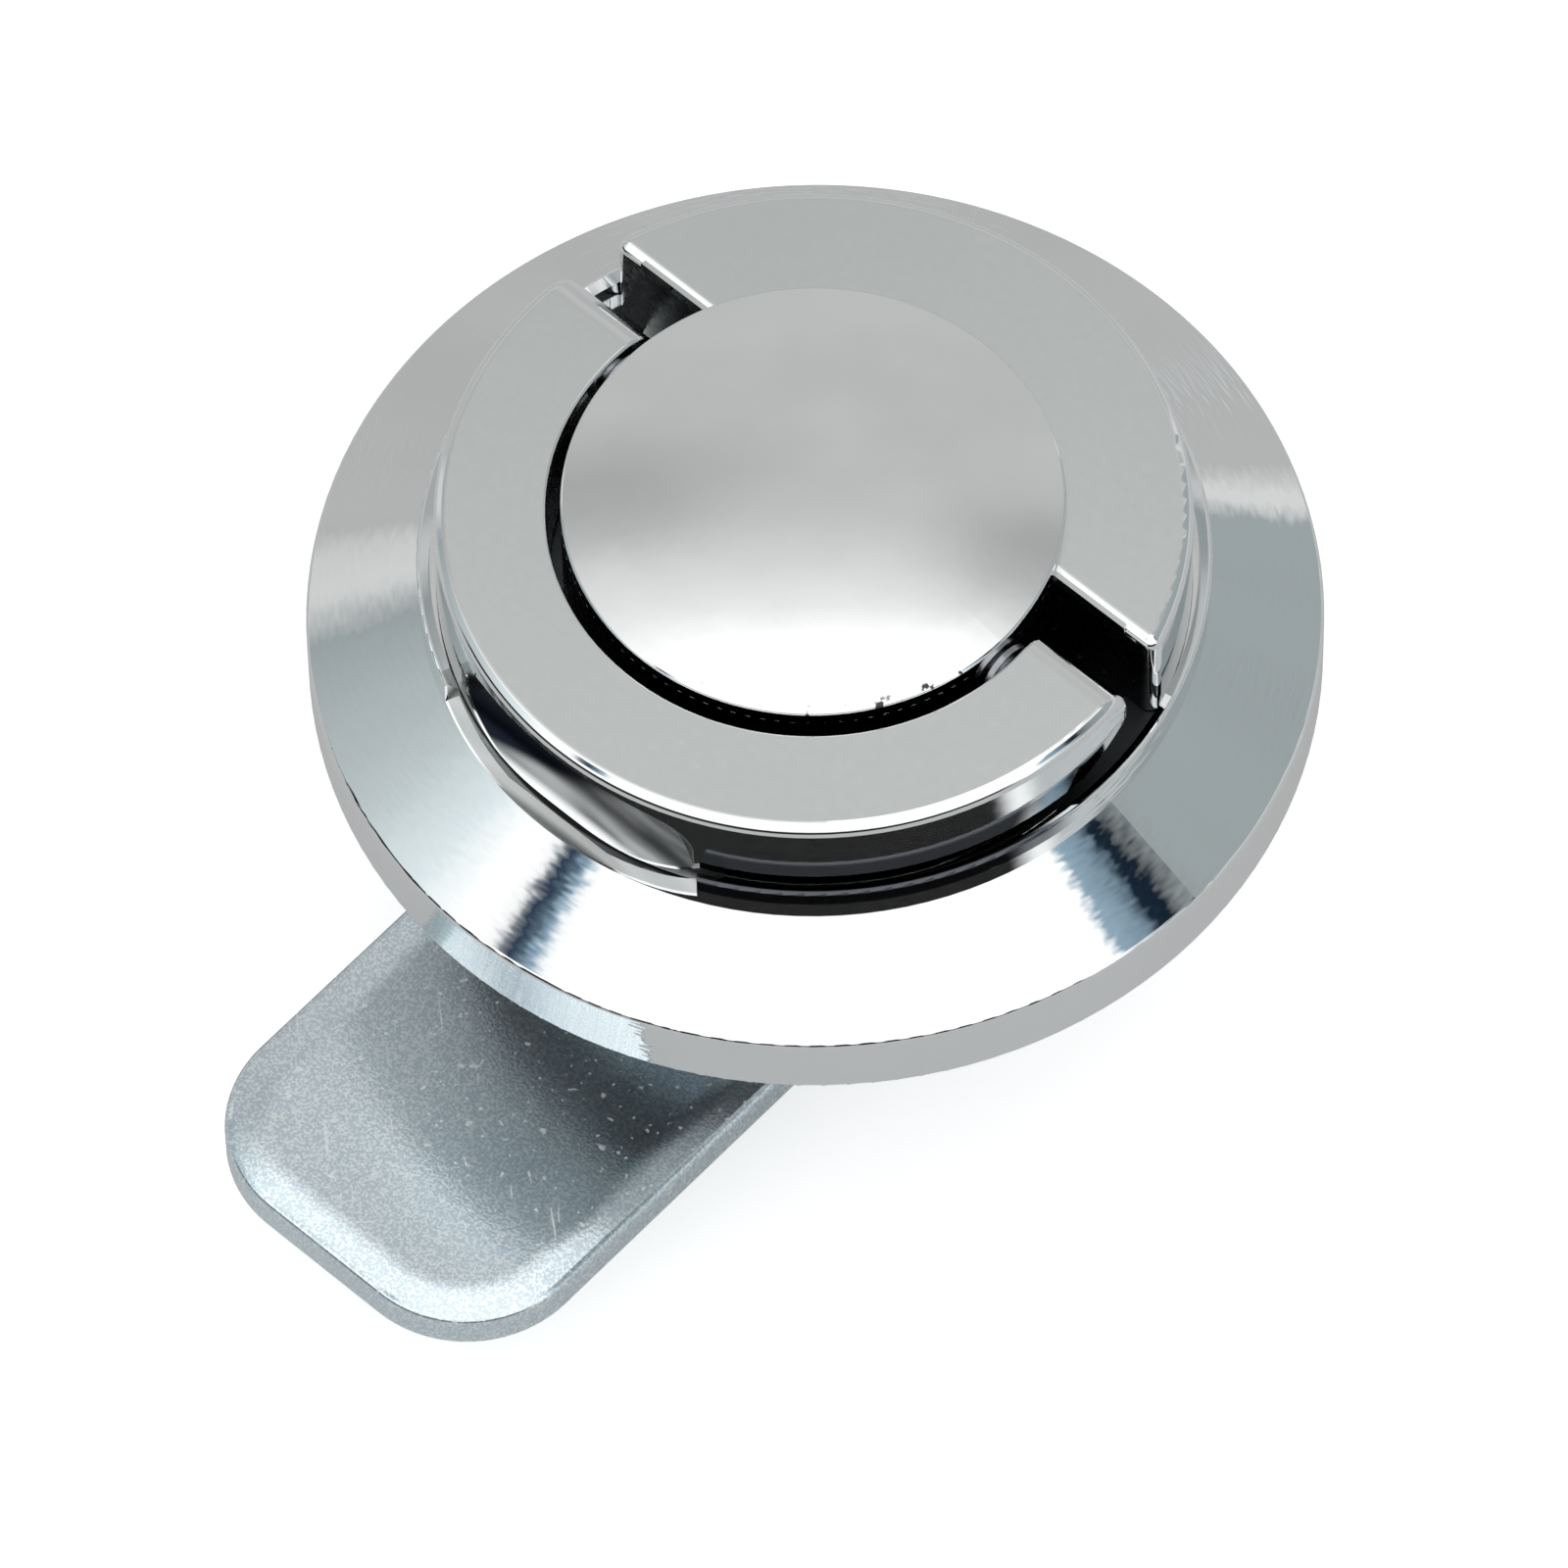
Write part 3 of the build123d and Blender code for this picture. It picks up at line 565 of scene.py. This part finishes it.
# overhead: a white softbox in front that fades into the grey ceiling behind
overhead = ramp(tree, plus(tree, times(tree, to_back, 2.0), 0.5), [
    (0.15, softbox), (0.22, grey(0.95)), (0.30, grey(0.80)),
    (0.42, grey(0.65)), (0.54, grey(0.58)), (1.0, grey(0.58)),
])
left_shade = times(tree, below(tree, to_side, -0.11, 0.09), between(tree, to_back, -0.05, 0.07, 0.05))
right_shade = times(tree, above(tree, to_side, 0.15, 0.10), between(tree, to_back, -0.14, -0.02, 0.05))
overhead = darken(darken(overhead, left_shade, 0.77), right_shade, 0.62)
# walls: the softbox in front, cool grey beside it, a pale strip on each side, and the grey room behind
walls = around([
    (-180.0, room_grey), (-101.0, room_grey), (-98.0, grey(0.70)), (-92.0, grey(0.75)), (-86.0, cool(0.42)),
    (-74.0, cool(0.53)), (-62.0, cool(0.69)), (-52.0, cool(0.97)), (-46.0, softbox),
    (35.0, softbox), (45.0, cool(0.30)), (50.0, cool(0.42)), (100.0, cool(0.42)),
    (102.0, grey(0.75)), (104.0, grey(0.75)), (108.0, room_grey), (180.0, room_grey),
])
# a narrow dark flag with a blue edge on each side of the softbox
left_flag = around([
    (-41.0, open_light), (-39.0, flag_dark), (-37.0, flag_dark), (-35.0, flag_edge), (-33.5, open_light),
])
right_flag = around([
    (35.5, open_light), (36.5, flag_edge), (40.5, flag_edge),
    (42.0, flag_dark), (44.0, flag_dark), (45.5, open_light),
])
flags = mix(tree, 1.0, left_flag, right_flag, "MULTIPLY")
flagged = mix(tree, between(tree, lean, 20.0, 40.0, 3.0), walls, flags, "MULTIPLY")
room = mix(tree, smooth(tree, lean, 15.5, 23.0), overhead, flagged)
# low in front the room is dark, and pale to the right
side, away, height = parts_of(tree, from_camera)
low_turn = turned(side, away)
low = below(tree, height, 0.19, 0.05)
room = darken(room, times(tree, between(tree, low_turn, -98.0, 47.0, 4.0), low), 0.02)
low_right = times(tree, between(tree, low_turn, 55.0, 150.0, 4.0), low)
room = mix(tree, low_right, room, (0.66, 0.69, 0.70, 1))
put(tree, background.inputs["Color"], room)
unevenness = noise(tree, from_camera, 5.0, detail=3.0)
put(tree, background.inputs["Strength"], smooth(tree, unevenness, 0.3, 0.7, 0.97, 1.03))

bpy.context.scene.view_settings.view_transform = "Standard"
